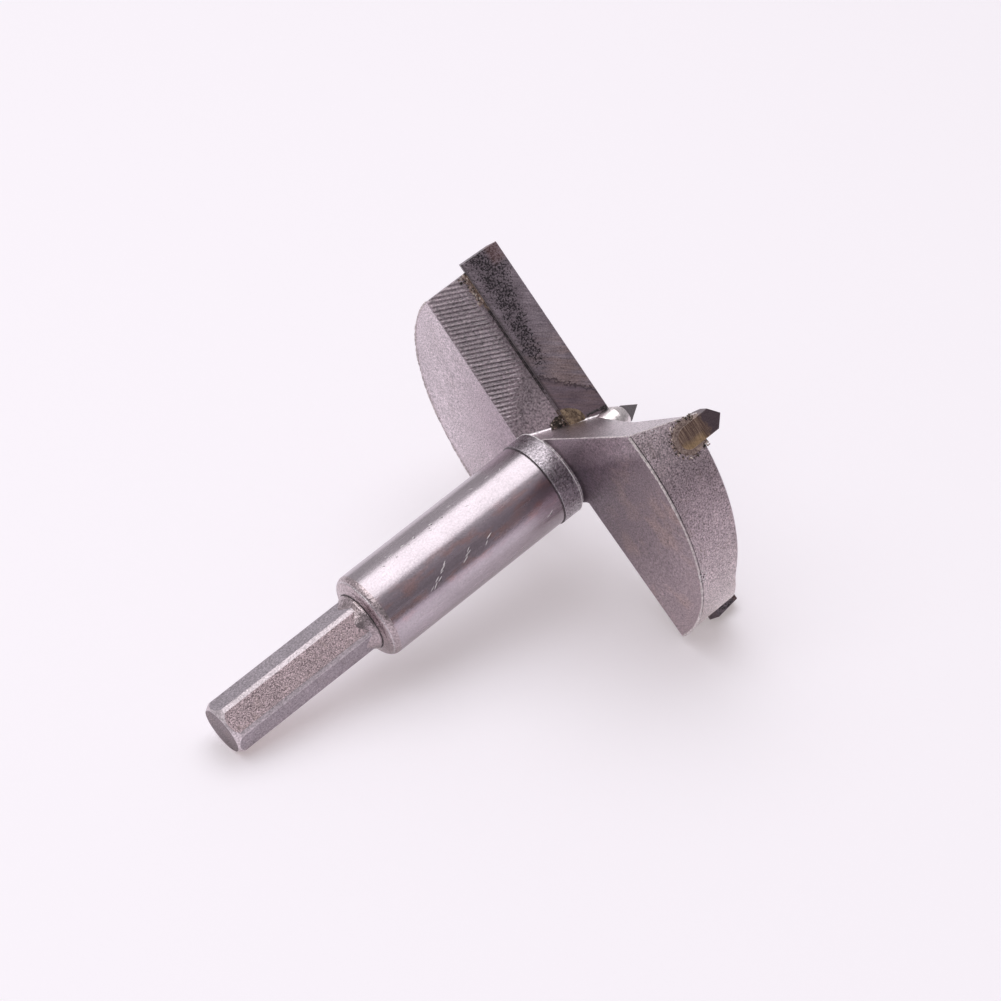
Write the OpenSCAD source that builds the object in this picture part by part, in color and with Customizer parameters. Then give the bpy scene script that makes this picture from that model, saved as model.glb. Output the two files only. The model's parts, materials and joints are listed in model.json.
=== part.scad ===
// Forstner bit with brazed carbide edges, lying on its side as it comes to rest.
// Each piece is drawn upright, with the tool axis on Z, the shank end at zero and
// the first cutter blade along +X, and is then laid down on the three points that
// touch the table. The tool turns from +X towards +Y when it cuts.

/* [Hex shank] */
// Width of the hexagonal shank across its flats
hex_af = 8; // [6:0.1:10]
// Length of the hexagonal shank, from its end to the shoulder
hex_len = 27.1; // [18:0.1:40]
// How much of the hexagon's corners is rounded off
hex_round = 0.22; // [0.05:0.01:0.4]
// How far the end face of the shank stays inside the flats
hex_bevel = 0.2; // [0.1:0.05:1]
// Radius of the rounded end of the shank, over the radius of the corners
hex_ball = 0.4; // [0.1:0.05:2]
// Turn of the hexagon about the axis, against the first blade
hex_turn = 49.5; // [0:0.5:60]
// Length of the round neck between its fillet and the shoulder
neck_len = 0.4; // [0.3:0.1:2]
// Height of the neck above the flats
neck_rise = 0.85; // [0.6:0.05:1.2]
// Radius of the fillet that runs from the flats up to the neck
neck_fillet = 4.2; // [2:0.1:8]
// How far below the flats the neck's fillet starts
neck_sink = 0.05; // [0.02:0.01:0.2]

/* [Round body] */
// Diameter of the turned body
body_d = 14.2; // [12:0.1:18]
// Length of the turned body, from the shoulder to the groove
body_len = 34.8; // [25:0.1:50]
// Radius of the rounded edge at the shoulder
shoulder_r = 1.4; // [0.5:0.1:2]
// How far the shoulder's face leans back over its width
shoulder_lean = 0.3; // [0:0.1:2]
// Depth of the turned lines that part the surfaces of the body
line_depth = 0.14; // [0.1:0.02:0.4]
// Half width of the turned lines' open side
line_w = 0.2; // [0.1:0.02:0.8]

/* [Collar] */
// How far the collar stands out from the body
collar_rise = 0.18; // [0.16:0.02:0.5]
// Length of the collar, from the groove to its end
collar_len = 3.55; // [2:0.05:8]
// Depth of the undercut between the collar and the wings
undercut = 0.35; // [0.1:0.05:0.8]

/* [Head] */
// Diameter over the rim of the steel head
head_d = 65; // [45:0.5:80]
// Height of the steel, from the back of the rim to behind the blades
head_h = 10.9; // [9:0.1:12.5]
// Distance from the end of the collar to the back of the rim
back_gap = 0.95; // [0.8:0.05:2]
// Angle that a wing's back falls away from the rim towards the hub
back_tilt = 1; // [0.2:0.1:1.2]
// Angle from a blade back to the line that its wing's back falls along
back_turn = 25; // [10:1:40]
// Angle that the rake faces lean forward
rake = 18.2; // [10:0.1:25]
// Half thickness of the web at the back, from the axis to a trailing face
web_half = 5.79; // [5:0.01:7]
// Angle that the trailing faces lean forward
trail_lean = 17.9; // [10:0.1:22]
// Angle of a trailing face against a line square to its blade
trail_skew = 4.7; // [0:0.1:15]

/* [Front troughs] */
// Distance from the axis back to the bottom of a trough
trough_back = 19; // [15:0.1:23]
// Depth of a trough below the top of the steel
trough_depth = 4.0; // [3:0.1:6]
// Slope of the trough's side that backs the blade
relief_slope = 11.3; // [8:0.1:16]
// Slope of the trough's side that rises to the spur
spur_slope = 9.9; // [6:0.1:16]
// Radius of the trough's bottom
trough_r = 10; // [4:0.5:16]

/* [Cutter blades] */
// Height of the cutting edges above the back of the rim
cut_h = 12.95; // [12:0.05:16]
// How far a cutting edge lies ahead of the axis
cut_lead = 0.6; // [0:0.1:2]
// Height of a blade along its rake face
blade_h = 6.58; // [5:0.02:8]
// Thickness of a blade
blade_t = 2.3; // [1.8:0.1:3.5]
// How far a blade stands out of the milled face
blade_proud = 1.22; // [0.8:0.02:1.6]
// How far a blade reaches past the rim
blade_over = 1.3; // [0.5:0.1:2.5]
// Relief angle on top of a blade
blade_relief = 14; // [5:0.5:18]

/* [Scoring spurs] */
// Angle from a blade back to its wing's spur
spur_back = 85.8; // [80:0.1:88]
// Width of a spur bar
spur_w = 3.55; // [2.5:0.05:4]
// Depth of a spur bar, towards the axis
spur_depth = 3.2; // [2:0.1:4]
// How far a spur stands out of the rim
spur_out = 0.3; // [0.1:0.05:0.8]
// Height of a spur's round foot above the back of the rim
spur_foot = 5.6; // [4:0.1:6.5]
// Height of a spur's point above the back of the rim
spur_tip = 13.7; // [12.5:0.1:17]
// Included angle of a spur's point
spur_point = 100; // [70:1:130]
// Bevel on the inner side of a spur's point
spur_bevel = 35; // [20:1:50]

/* [Centre point] */
// Turn of the carbide plate in the centre point, back from the blades
pilot_turn = 10.5; // [0:0.5:30]
// Height of the centre point above the back of the rim
pilot_tip_h = 17.3; // [15:0.1:22]
// Included angle of the centre point
pilot_point = 63; // [50:1:80]
// Width of the carbide plate in the centre point
pilot_w = 3; // [2:0.1:4]
// Thickness of that plate
pilot_t = 1.5; // [1:0.1:2]
// Depth of the plate's slot below the point
pilot_deep = 6; // [5:0.1:8]
// How far the steel of the cone stops below the point
pilot_bare = 2.5; // [1.2:0.1:3]
// Radius of the steel cone's foot
pilot_foot_r = 2.5; // [2.2:0.1:4]
// Radius of the slight bulge in the cone's side
pilot_bulge = 12; // [6:1:40]

/* [Brazing] */
// Thickness of the brass film round each carbide piece
braze_gap = 0.12; // [0.08:0.02:0.3]
// Size of the brass bead along the back of a blade
bead = 0.45; // [0.2:0.05:0.8]
// Width of the brass crust round a spur's foot
crust_w = 0.8; // [0.4:0.1:1.2]
// Height of that crust above the rim
crust_h = 0.22; // [0.1:0.02:0.4]

/* [Hidden] */
$fn = 96;

steel = [0.66, 0.64, 0.67];
carbide = [0.24, 0.23, 0.26];
brass = [0.55, 0.49, 0.27];

hex_r = hex_af / 2;
hex_corner_r = hex_r / cos(30) - hex_round;
hex_corner_half = 30 - acos(hex_r / hex_corner_r);
hex_end_r = hex_r - hex_bevel;
hex_ball_r = hex_corner_r + hex_ball;
hex_ball_z = sqrt(hex_ball_r * hex_ball_r - hex_end_r * hex_end_r);
hex_corner_z = hex_ball_z - sqrt(hex_ball_r * hex_ball_r - hex_corner_r * hex_corner_r);
neck_r = hex_r + neck_rise;
neck_z = hex_len - neck_len;
neck_centre_r = hex_r - neck_sink + neck_fillet;
neck_start_z = neck_z - sqrt(neck_fillet * neck_fillet - (neck_centre_r - neck_r) * (neck_centre_r - neck_r));

body_r = body_d / 2;
groove_z = hex_len + body_len;
collar_r = body_r + collar_rise;
collar_z = groove_z + collar_len;
hub_r = collar_r - undercut;

// Steel that is left on the head's blank below the lowest part of the wings' backs
blank_spare = 0.05;
head_r = head_d / 2;
back_z = collar_z + back_gap;
back_fall = head_r * tan(back_tilt);
blank_z = back_z - back_fall - blank_spare;
top_z = back_z + head_h;
cut_z = back_z + cut_h;
blade_end = head_r + blade_over;
mill_offset = blade_proud / cos(rake);

spur_r = head_r + spur_out;
spur_foot_z = back_z + spur_foot;
spur_tip_z = back_z + spur_tip;
spur_neck_z = spur_foot_z + spur_w / 2;
spur_shoulder_z = spur_tip_z - spur_w / 2 / tan(spur_point / 2);

pilot_tip_z = back_z + pilot_tip_h;
pilot_slope = tan(pilot_point / 2);
pilot_slot_z = pilot_tip_z - pilot_deep;
pilot_top_z = pilot_tip_z - pilot_bare;
pilot_foot_z = pilot_tip_z - pilot_foot_r / pilot_slope;

// Longer than any piece, for cuts that run out of the tool
reach = 2 * (head_d + pilot_tip_z);

// The three points that touch the table, and the frame that they give
function polar(r, a, z) = [r * cos(a), r * sin(a), z];
function web_at(z) = web_half - tan(trail_lean) * (z - back_z);
function blade_corner(down) = [blade_end, cut_lead - down * sin(rake), cut_z - down * cos(rake)];
function trail_corner(r, z) = polar(r, trail_skew + acos(web_at(z) / r), z);
function unit(v) = v / norm(v);

touch_shank = polar(hex_corner_r, hex_turn - hex_corner_half, hex_corner_z);
touch_blade = blade_corner(blade_h);
touch_turn = trail_skew + acos(web_at(back_z) / head_r) - 180;
touch_rim = trail_corner(head_r, back_z - back_fall * (1 - cos(touch_turn + back_turn)));

up = unit(cross(touch_blade - touch_shank, touch_rim - touch_shank));
ahead = unit([0, 0, 1] - up * up[2]);
side = cross(up, ahead);

// The tool lies centred between its shank end and the reach of its head
head_ends = [blade_corner(0), [0, 0, pilot_tip_z], polar(spur_r, 180 - spur_back, spur_tip_z)];
ahead_low = -hex_end_r * norm([ahead[0], ahead[1]]);
ahead_high = max([for (p = head_ends) p * ahead]);
ahead_mid = (ahead_low + ahead_high) / 2;

module lay() {
  multmatrix([
    [ahead[0], ahead[1], ahead[2], -ahead_mid],
    [side[0], side[1], side[2], 0],
    [up[0], up[1], up[2], -touch_shank * up],
    [0, 0, 0, 1]
  ])
    children();
}

// Turns a piece of the first wing to the given wing, 0 or 1
module at_wing(i) {
  rotate([0, 0, 180 * i])
    children();
}

// The frame of a blade: its cutting edge on X, its rake face square to Y
module at_blade() {
  translate([0, cut_lead, cut_z])
    rotate([-rake, 0, 0])
      children();
}

// A slab that is open towards the spur's radius: X runs outwards, Z along the axis
module at_spur() {
  rotate([0, 0, -spur_back])
    children();
}

// Extrudes an outline drawn across the spur or the axis, from one radius to another
module radial_slab(from_r, to_r) {
  translate([from_r, 0, 0])
    rotate([90, 0, 90])
      linear_extrude(height = to_r - from_r)
        children();
}

// Hexagonal bar with rounded corners, turned to a ball at its end
module hex_shank() {
  intersection() {
    rotate([0, 0, hex_turn])
      cylinder(d = hex_af / cos(30), h = hex_len, $fn = 6);
    cylinder(r = hex_corner_r, h = hex_len);
    union() {
      translate([0, 0, hex_ball_z])
        sphere(r = hex_ball_r);
      translate([0, 0, hex_ball_z])
        cylinder(r = hex_ball_r, h = hex_len);
    }
  }
}

// Half section of the shaft: neck, shoulder, body, collar and the hub inside the head
module shaft_section() {
  round_z = hex_len + shoulder_lean + shoulder_r;
  difference() {
    union() {
      polygon([
        [0, neck_start_z],
        [neck_r, neck_start_z],
        [neck_r, hex_len],
        [body_r - shoulder_r, hex_len + shoulder_lean],
        [body_r - shoulder_r, round_z],
        [body_r, round_z],
        [body_r, groove_z],
        [collar_r, groove_z],
        [collar_r, collar_z],
        [hub_r, collar_z],
        [hub_r, back_z + blank_spare],
        [0, back_z + blank_spare]
      ]);
      translate([body_r - shoulder_r, round_z])
        intersection() {
          circle(r = shoulder_r);
          translate([0, -shoulder_r])
            square(shoulder_r);
        }
    }
    intersection() {
      translate([neck_centre_r, neck_start_z])
        circle(r = neck_fillet);
      translate([0, neck_start_z - neck_fillet])
        square([neck_centre_r, neck_fillet + neck_z - neck_start_z]);
    }
    translate([body_r, groove_z])
      turned_line();
    translate([body_r - shoulder_r * (1 - cos(45)), round_z - shoulder_r * sin(45)])
      rotate(-45)
        turned_line();
  }
}

// The head before its gullets are cut: a disc with a back that falls towards the hub
module head_blank() {
  difference() {
    translate([0, 0, blank_z])
      cylinder(r = head_r, h = top_z - blank_z);
    for (i = [0, 1])
      at_wing(i)
        rotate([0, 0, -back_turn])
          translate([head_r, 0, back_z])
            rotate([0, -back_tilt, 0])
              translate([-reach, -reach, -reach])
                cube([2 * reach, 2 * reach, reach]);
  }
}

// A fine turned line, as a notch in the section
module turned_line() {
  polygon([[-line_depth, 0], [line_depth + collar_rise, line_w], [line_depth + collar_rise, -line_w]]);
}

// Half space ahead of a wing's milled rake face
module ahead_of_mill() {
  translate([0, cut_lead - mill_offset, cut_z])
    rotate([-rake, 0, 0])
      translate([-reach, 0, -reach])
        cube([2 * reach, reach, 2 * reach]);
}

// Half space past the other wing's trailing face, with a gap from it
module past_web(gap) {
  rotate([0, 0, trail_skew])
    translate([web_half, 0, back_z])
      rotate([0, -trail_lean, 0])
        translate([gap, -reach, -reach])
          cube([reach, 2 * reach, 2 * reach]);
}

// The open gullet in front of a wing, between its rake face and the other wing's back
module gullet() {
  intersection() {
    ahead_of_mill();
    past_web(0);
    translate([-reach, -reach, collar_z])
      cube(2 * reach);
  }
}

// The trough milled across the front of a wing, between its blade and its spur
module trough() {
  half_turn = (relief_slope + spur_slope) / 2;
  tangent = trough_r * tan(half_turn);
  blade_side = [cos(relief_slope), sin(relief_slope)];
  spur_side = [-cos(spur_slope), sin(spur_slope)];
  centre = tangent * blade_side + trough_r * [-sin(relief_slope), cos(relief_slope)];
  translate([0, -trough_back, top_z - trough_depth])
    rotate([90, 0, 90])
      linear_extrude(height = 2 * reach, center = true)
        union() {
          polygon([
            tangent * blade_side,
            head_r * blade_side / cos(relief_slope),
            [head_r, head_r],
            [-head_r, head_r],
            head_r * spur_side / cos(spur_slope),
            tangent * spur_side
          ]);
          translate(centre)
            circle(r = trough_r);
        }
}

// The seat that is milled for a blade in the rake face
module blade_seat() {
  intersection() {
    at_blade()
      translate([0, -blade_t - braze_gap, -blade_h - braze_gap])
        cube([reach, reach, reach]);
    past_web(0);
  }
}

// Outline of a spur bar seen from outside, grown by the gap round it
module spur_outline(gap, top) {
  translate([0, spur_neck_z])
    circle(r = spur_w / 2 + gap);
  translate([-spur_w / 2 - gap, spur_neck_z])
    square([spur_w + 2 * gap, top - spur_neck_z]);
}

module spur_slot() {
  at_spur()
    radial_slab(spur_r - spur_depth - braze_gap, reach)
      spur_outline(braze_gap, reach);
}

// Steel cone round the centre plate, with sides that bulge a little
module pilot_cone() {
  foot = [pilot_foot_r, pilot_foot_z];
  top = [pilot_bare * pilot_slope, pilot_top_z];
  half = norm(top - foot) / 2;
  inward = [-cos(pilot_point / 2), -sin(pilot_point / 2)];
  centre = (foot + top) / 2 + inward * sqrt(pilot_bulge * pilot_bulge - half * half);
  rotate_extrude()
    intersection() {
      translate([0, pilot_foot_z])
        square([pilot_foot_r, pilot_top_z - pilot_foot_z]);
      translate(centre)
        circle(r = pilot_bulge);
    }
  translate([0, 0, back_z])
    cylinder(r = pilot_foot_r, h = pilot_foot_z - back_z);
}

module pilot_slot() {
  slot_w = pilot_w + 2 * braze_gap;
  slot_t = pilot_t + 2 * braze_gap;
  rotate([0, 0, -pilot_turn])
    translate([-slot_w / 2, -slot_t / 2, pilot_slot_z - braze_gap])
      cube([slot_w, slot_t, reach]);
}

module pilot_plate() {
  shoulder_z = pilot_tip_z - pilot_w / 2 / pilot_slope;
  rotate([90, 0, -pilot_turn])
    linear_extrude(height = pilot_t, center = true)
      polygon([
        [-pilot_w / 2, pilot_slot_z],
        [pilot_w / 2, pilot_slot_z],
        [pilot_w / 2, shoulder_z],
        [0, pilot_tip_z],
        [-pilot_w / 2, shoulder_z]
      ]);
}

// One forged and turned piece of steel: shank, body, collar and both wings
module body() {
  color(steel)
    lay()
      difference() {
        union() {
          hex_shank();
          difference() {
            union() {
              rotate_extrude()
                shaft_section();
              head_blank();
            }
            for (i = [0, 1])
              at_wing(i) {
                gullet();
                trough();
                blade_seat();
                spur_slot();
              }
          }
          pilot_cone();
        }
        pilot_slot();
      }
}

// Carbide blade: a plate with a ground relief on top, mitred to the web at its inner end
module cutter_blade(i) {
  color(carbide)
    lay()
      at_wing(i)
        difference() {
          intersection() {
            at_blade()
              translate([0, -blade_t, -blade_h])
                cube([blade_end, blade_t, blade_h + blade_t]);
            past_web(braze_gap);
          }
          translate([0, cut_lead, cut_z])
            rotate([blade_relief, 0, 0])
              translate([-reach, -reach, 0])
                cube([2 * reach, 2 * reach, reach]);
          pilot_clear();
        }
}

// Room that the blades leave round the foot of the centre point
module pilot_clear() {
  translate([0, 0, back_z])
    cylinder(r = pilot_foot_r + braze_gap, h = reach);
}

// Carbide scoring bar with a round foot, a ground outer face and a bevelled point
module spur(i) {
  tip_half = spur_w / 2;
  color(carbide)
    lay()
      at_wing(i)
        difference() {
          intersection() {
            at_spur()
              radial_slab(spur_r - spur_depth, reach) {
                translate([0, spur_neck_z])
                  circle(r = tip_half);
                polygon([
                  [-tip_half, spur_neck_z],
                  [tip_half, spur_neck_z],
                  [tip_half, spur_shoulder_z],
                  [0, spur_tip_z],
                  [-tip_half, spur_shoulder_z]
                ]);
              }
            cylinder(r = spur_r, h = reach);
          }
          at_spur()
            translate([spur_r, 0, spur_tip_z])
              rotate([0, -spur_bevel, 0])
                translate([-reach, -reach, 0])
                  cube([2 * reach, 2 * reach, reach]);
        }
}

// Carbide plate that is set in the slot of the steel cone
module pilot_tip() {
  color(carbide)
    lay()
      pilot_plate();
}

// Brass under a blade, with the bead that shows along its back
module blade_braze(i) {
  color(brass)
    lay()
      at_wing(i)
        difference() {
          intersection() {
            at_blade()
              rotate([90, 0, 90])
                linear_extrude(height = head_r)
                  polygon([
                    [-blade_t - braze_gap, -blade_h - braze_gap],
                    [-blade_proud, -blade_h - braze_gap],
                    [-blade_proud, -blade_h - bead],
                    [-blade_proud + bead, -blade_h],
                    [-blade_t, -blade_h],
                    [-blade_t, -braze_gap],
                    [-blade_t - braze_gap, -braze_gap]
                  ]);
            past_web(0);
            cylinder(r = head_r - bead, h = reach);
          }
          pilot_clear();
        }
}

// Brass round a spur in its slot, with the crust that stands on the rim
module spur_braze(i) {
  fill_top = spur_neck_z + spur_w / 2;
  color(brass)
    lay()
      at_wing(i)
        union() {
          intersection() {
            at_spur()
              difference() {
                radial_slab(spur_r - spur_depth - braze_gap, spur_r)
                  spur_outline(braze_gap, fill_top);
                radial_slab(spur_r - spur_depth, reach)
                  spur_outline(0, reach);
              }
            cylinder(r = head_r + crust_h, h = reach);
          }
          difference() {
            intersection() {
              at_spur()
                radial_slab(spur_r - spur_depth, spur_r)
                  difference() {
                    spur_outline(crust_w, spur_neck_z + spur_w / 4);
                    spur_outline(0, reach);
                  }
              cylinder(r = head_r + crust_h, h = reach);
            }
            cylinder(r = head_r, h = reach);
          }
        }
}

// Brass film between the centre plate and its slot
module pilot_braze() {
  film_top = pilot_tip_z - (pilot_w / 2 + braze_gap) / pilot_slope - braze_gap;
  color(brass)
    lay()
      rotate([0, 0, -pilot_turn])
        difference() {
          translate([-pilot_w / 2 - braze_gap, -pilot_t / 2 - braze_gap, pilot_slot_z - braze_gap])
            cube([pilot_w + 2 * braze_gap, pilot_t + 2 * braze_gap, film_top - pilot_slot_z]);
          translate([-pilot_w / 2, -pilot_t / 2, pilot_slot_z])
            cube([pilot_w, pilot_t, reach]);
        }
}

body();
cutter_blade(0);  // cutter_blade_1
cutter_blade(1);  // cutter_blade_2
spur(0);  // spur_1
spur(1);  // spur_2
pilot_tip();
blade_braze(0);  // blade_braze_1
blade_braze(1);  // blade_braze_2
spur_braze(0);  // spur_braze_1
spur_braze(1);  // spur_braze_2
pilot_braze();
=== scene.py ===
import json
import math
import random

import bmesh
import bpy
import numpy as np
from mathutils import Matrix, Vector

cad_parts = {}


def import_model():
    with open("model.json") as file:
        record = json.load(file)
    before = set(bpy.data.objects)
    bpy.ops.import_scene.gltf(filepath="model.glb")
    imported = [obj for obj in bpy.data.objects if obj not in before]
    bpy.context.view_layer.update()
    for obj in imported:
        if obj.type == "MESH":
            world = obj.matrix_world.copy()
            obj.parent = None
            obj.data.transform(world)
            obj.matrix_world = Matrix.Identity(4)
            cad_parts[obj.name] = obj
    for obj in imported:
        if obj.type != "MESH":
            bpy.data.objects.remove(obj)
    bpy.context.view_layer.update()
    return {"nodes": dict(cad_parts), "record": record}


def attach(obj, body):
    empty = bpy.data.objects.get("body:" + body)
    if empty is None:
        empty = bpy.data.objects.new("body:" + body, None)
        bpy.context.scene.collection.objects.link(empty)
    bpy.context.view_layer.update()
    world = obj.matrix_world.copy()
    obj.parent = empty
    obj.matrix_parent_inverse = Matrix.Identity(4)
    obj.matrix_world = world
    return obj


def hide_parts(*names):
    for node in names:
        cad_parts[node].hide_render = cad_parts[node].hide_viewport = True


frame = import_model()

MM = 0.001

# Sizes of the tool in its own frame: axis on Z from the shank's end, first blade along X
SEAT_MID = 45.25
FLAT_ANGLE = 79.5
HEX_END = 26.0
BODY_R = 7.1
NECK_R = 4.85
SHOULDER = 27.1
NECK_END = 28.75
GROOVE = 61.9
COLLAR_END = 65.45
BACK = 66.4
BACK_TILT = math.tan(math.radians(1))
BACK_TURN = math.radians(25)
CUT = 79.35
CUT_LEAD = 0.6
RAKE = math.radians(18.2)
PROUD = 1.22
BLADE_H = 6.58
RIM_R = 32.5
WEB_HALF = 5.79
TRAIL_LEAN = math.radians(17.9)
TRAIL_SKEW = math.radians(4.7)
SPUR_BACK = 85.8
SPUR_W = 3.55
SPUR_NECK = 73.775
NICK = -47.0

# Camera in the tool's frame, in millimetres
CAM_POS = (-80.1, -424.7, -98.0)
CAM_AHEAD = (0.1716, 0.926, 0.3362)
CAM_RIGHT = (0.559, -0.3726, 0.7408)
CAM_LENS = 107.9
SENSOR = 36.0

# Brightness of the room round the tool, and of the picture
ROOM_FRONT = 0.25
ROOM_BACK = 0.5
ROOM_TOP = 0.15
EXPOSURE = 0.0


def tool_frame():
    """The tool's frame in the row, from the seat on the body and a flat of the shank."""
    mounts = {m["name"]: m for m in frame["record"]["mounts"]}
    seat = mounts["stop_collar_seat"]
    axis = -Vector(seat["axis"]).normalized()
    flat = Vector(mounts["shank_flat_a"]["axis"])
    flat = (flat - axis * flat.dot(axis)).normalized()
    x = Matrix.Rotation(-math.radians(FLAT_ANGLE), 3, axis) @ flat
    y = axis.cross(x)
    m = Matrix((x, y, axis)).transposed().to_4x4()
    m.translation = Vector(seat["pos_m"]) - axis * SEAT_MID * MM
    return m


TOOL = tool_frame()
TOOL_MM = TOOL @ Matrix.Scale(MM, 4)
TO_TOOL = TOOL_MM.inverted()


def wing_frame(i):
    return TOOL @ Matrix.Rotation(math.pi * i, 4, "Z")


def blade_frame(i):
    """Cutting edge on X, out of the rake face along Y, up the face along Z."""
    place = Matrix.Translation((0, CUT_LEAD * MM, CUT * MM)) @ Matrix.Rotation(-RAKE, 4, "X")
    return wing_frame(i) @ place


def spur_frame(i):
    """Outwards along X, along the axis on Z, with the origin on the axis."""
    return wing_frame(i) @ Matrix.Rotation(-math.radians(SPUR_BACK), 4, "Z")


def node(nt, kind, **props):
    n = nt.nodes.new(kind)
    for k, v in props.items():
        setattr(n, k, v)
    return n


def put(nt, socket, value):
    if isinstance(value, bpy.types.NodeSocket):
        nt.links.new(value, socket)
    elif isinstance(value, (tuple, list)) and len(value) == 3 and socket.type == "RGBA":
        socket.default_value = (*value, 1)
    else:
        socket.default_value = value


def calc(nt, op, a, b=0.0, clamp=False):
    n = node(nt, "ShaderNodeMath", operation=op, use_clamp=clamp)
    put(nt, n.inputs[0], a)
    put(nt, n.inputs[1], b)
    return n.outputs[0]


def vmath(nt, op, a, b):
    n = node(nt, "ShaderNodeVectorMath", operation=op)
    put(nt, n.inputs[0], a)
    put(nt, n.inputs[1], b)
    return n.outputs["Value"] if op in ("DOT_PRODUCT", "LENGTH", "DISTANCE") else n.outputs[0]


def span(nt, v, lo, hi, a=0.0, b=1.0, smooth=False):
    n = node(nt, "ShaderNodeMapRange", clamp=True)
    n.interpolation_type = "SMOOTHSTEP" if smooth else "LINEAR"
    for s, x in zip(n.inputs[:5], (v, lo, hi, a, b)):
        put(nt, s, x)
    return n.outputs[0]


def noise(nt, vec, scale, detail=3.0, rough=0.55, twist=0.0):
    n = node(nt, "ShaderNodeTexNoise")
    put(nt, n.inputs["Vector"], vec)
    put(nt, n.inputs["Scale"], scale)
    put(nt, n.inputs["Detail"], detail)
    put(nt, n.inputs["Roughness"], rough)
    put(nt, n.inputs["Distortion"], twist)
    return n.outputs["Fac"]


def cells(nt, vec, scale):
    n = node(nt, "ShaderNodeTexVoronoi")
    put(nt, n.inputs["Vector"], vec)
    put(nt, n.inputs["Scale"], scale)
    put(nt, n.inputs["Randomness"], 1.0)
    return n.outputs["Distance"]


def blend(nt, fac, a, b, kind="MIX"):
    n = node(nt, "ShaderNodeMix", data_type="RGBA", blend_type=kind, clamp_factor=True)
    put(nt, n.inputs[0], fac)
    put(nt, n.inputs[6], a)
    put(nt, n.inputs[7], b)
    return n.outputs[2]


def grey(nt, v):
    n = node(nt, "ShaderNodeCombineColor")
    for s in n.inputs[:3]:
        put(nt, s, v)
    return n.outputs[0]


def coords(nt, m):
    """Position in a frame of the tool, in millimetres."""
    tc = node(nt, "ShaderNodeTexCoord")
    n = node(nt, "ShaderNodeMapping", vector_type="TEXTURE")
    put(nt, n.inputs["Vector"], tc.outputs["Object"])
    n.inputs["Location"].default_value = m.translation
    n.inputs["Rotation"].default_value = m.to_euler()
    n.inputs["Scale"].default_value = (MM, MM, MM)
    return n.outputs[0]


def stretch(nt, vec, factors):
    return vmath(nt, "MULTIPLY", vec, factors)


def parts(nt, vec):
    n = node(nt, "ShaderNodeSeparateXYZ")
    put(nt, n.inputs[0], vec)
    return n.outputs


def material(name):
    m = bpy.data.materials.new(name)
    m.use_nodes = True
    nt = m.node_tree
    return m, nt, nt.nodes["Principled BSDF"]


def rounded_edges(nt, radius):
    """Normal that rounds the edges, and a mask of where it does so."""
    bev = node(nt, "ShaderNodeBevel", samples=6)
    bev.inputs["Radius"].default_value = radius * MM
    geo = node(nt, "ShaderNodeNewGeometry")
    same = vmath(nt, "DOT_PRODUCT", bev.outputs[0], geo.outputs["Normal"])
    return bev.outputs[0], span(nt, same, 0.995, 0.85, 0.0, 1.0)


def bump(nt, height, depth, normal=None):
    n = node(nt, "ShaderNodeBump")
    n.inputs["Strength"].default_value = 1.0
    n.inputs["Distance"].default_value = depth * MM
    put(nt, n.inputs["Height"], height)
    if normal is not None:
        put(nt, n.inputs["Normal"], normal)
    return n.outputs[0]


def steel(name, tint, rough, grain=3.2, depth=0.03, speck=0.25, cloud=0.08, pits=0.0, edge=0.25,
          lathe=0.0, stain=0.0, stain_tint=(0.36, 0.27, 0.23), shade=None, edge_wear_and_highlight=0.6, along=1.0):
    """Bare steel: grain, clouds, pits, turned lines, brown stains, colour by position where given, and
    pale edges that are partly worn and partly a painted highlight.
    """
    m, nt, bsdf = material(name)
    c = coords(nt, TOOL)
    fine = noise(nt, c, grain, 3.0, 0.65)
    soft = noise(nt, c, 0.16, 4.0, 0.6)
    mid = noise(nt, stretch(nt, c, (1.0, 1.0, along)), 1.1, 3.0, 0.6)
    dark = tuple(x * (1 - cloud) for x in tint)
    light = tuple(min(1, x * (1 + cloud)) for x in tint)
    col = blend(nt, span(nt, soft, 0.35, 0.65), dark, light)
    col = blend(nt, 1.0, col, grey(nt, span(nt, fine, 0.3, 0.7, 1 - speck, 1 + speck)), "MULTIPLY")
    col = blend(nt, 1.0, col, grey(nt, span(nt, mid, 0.3, 0.7, 0.93, 1.05)), "MULTIPLY")
    if shade is not None:
        col = blend(nt, 1.0, col, shade(nt, c), "MULTIPLY")
    if stain:
        spots = span(nt, noise(nt, c, 0.35, 5.0, 0.65, 0.4), 0.54, 0.72, 0.0, stain)
        col = blend(nt, spots, col, stain_tint)
    height = fine
    if pits:
        holes = span(nt, cells(nt, c, 0.9), 0.10, 0.18)
        few = span(nt, noise(nt, c, 0.5, 2.0), 0.5, 0.6)
        hole = calc(nt, "MULTIPLY", calc(nt, "SUBTRACT", 1.0, holes), few)
        col = blend(nt, calc(nt, "MULTIPLY", hole, pits), col, (0.05, 0.045, 0.05))
        height = calc(nt, "SUBTRACT", height, hole)
    if lathe:
        rings = noise(nt, stretch(nt, c, (0.12, 0.12, 7.0)), 1.0, 2.0, 0.6)
        height = calc(nt, "ADD", height, calc(nt, "MULTIPLY", rings, lathe))
    normal, edges = rounded_edges(nt, edge)
    # pale edges: partly real wear, partly a painted highlight
    col = blend(nt, calc(nt, "MULTIPLY", edges, edge_wear_and_highlight), col, (0.86, 0.83, 0.86))
    put(nt, bsdf.inputs["Base Color"], col)
    put(nt, bsdf.inputs["Metallic"], 1.0)
    r = span(nt, mid, 0.3, 0.7, rough - 0.05, rough + 0.05)
    put(nt, bsdf.inputs["Roughness"], calc(nt, "SUBTRACT", r, calc(nt, "MULTIPLY", edges, 0.08), True))
    put(nt, bsdf.inputs["Normal"], bump(nt, height, depth, normal))
    return m


def away_from_axis(nt, c):
    return vmath(nt, "LENGTH", stretch(nt, c, (1.0, 1.0, 0.0)), (0.0, 0.0, 0.0))


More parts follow.
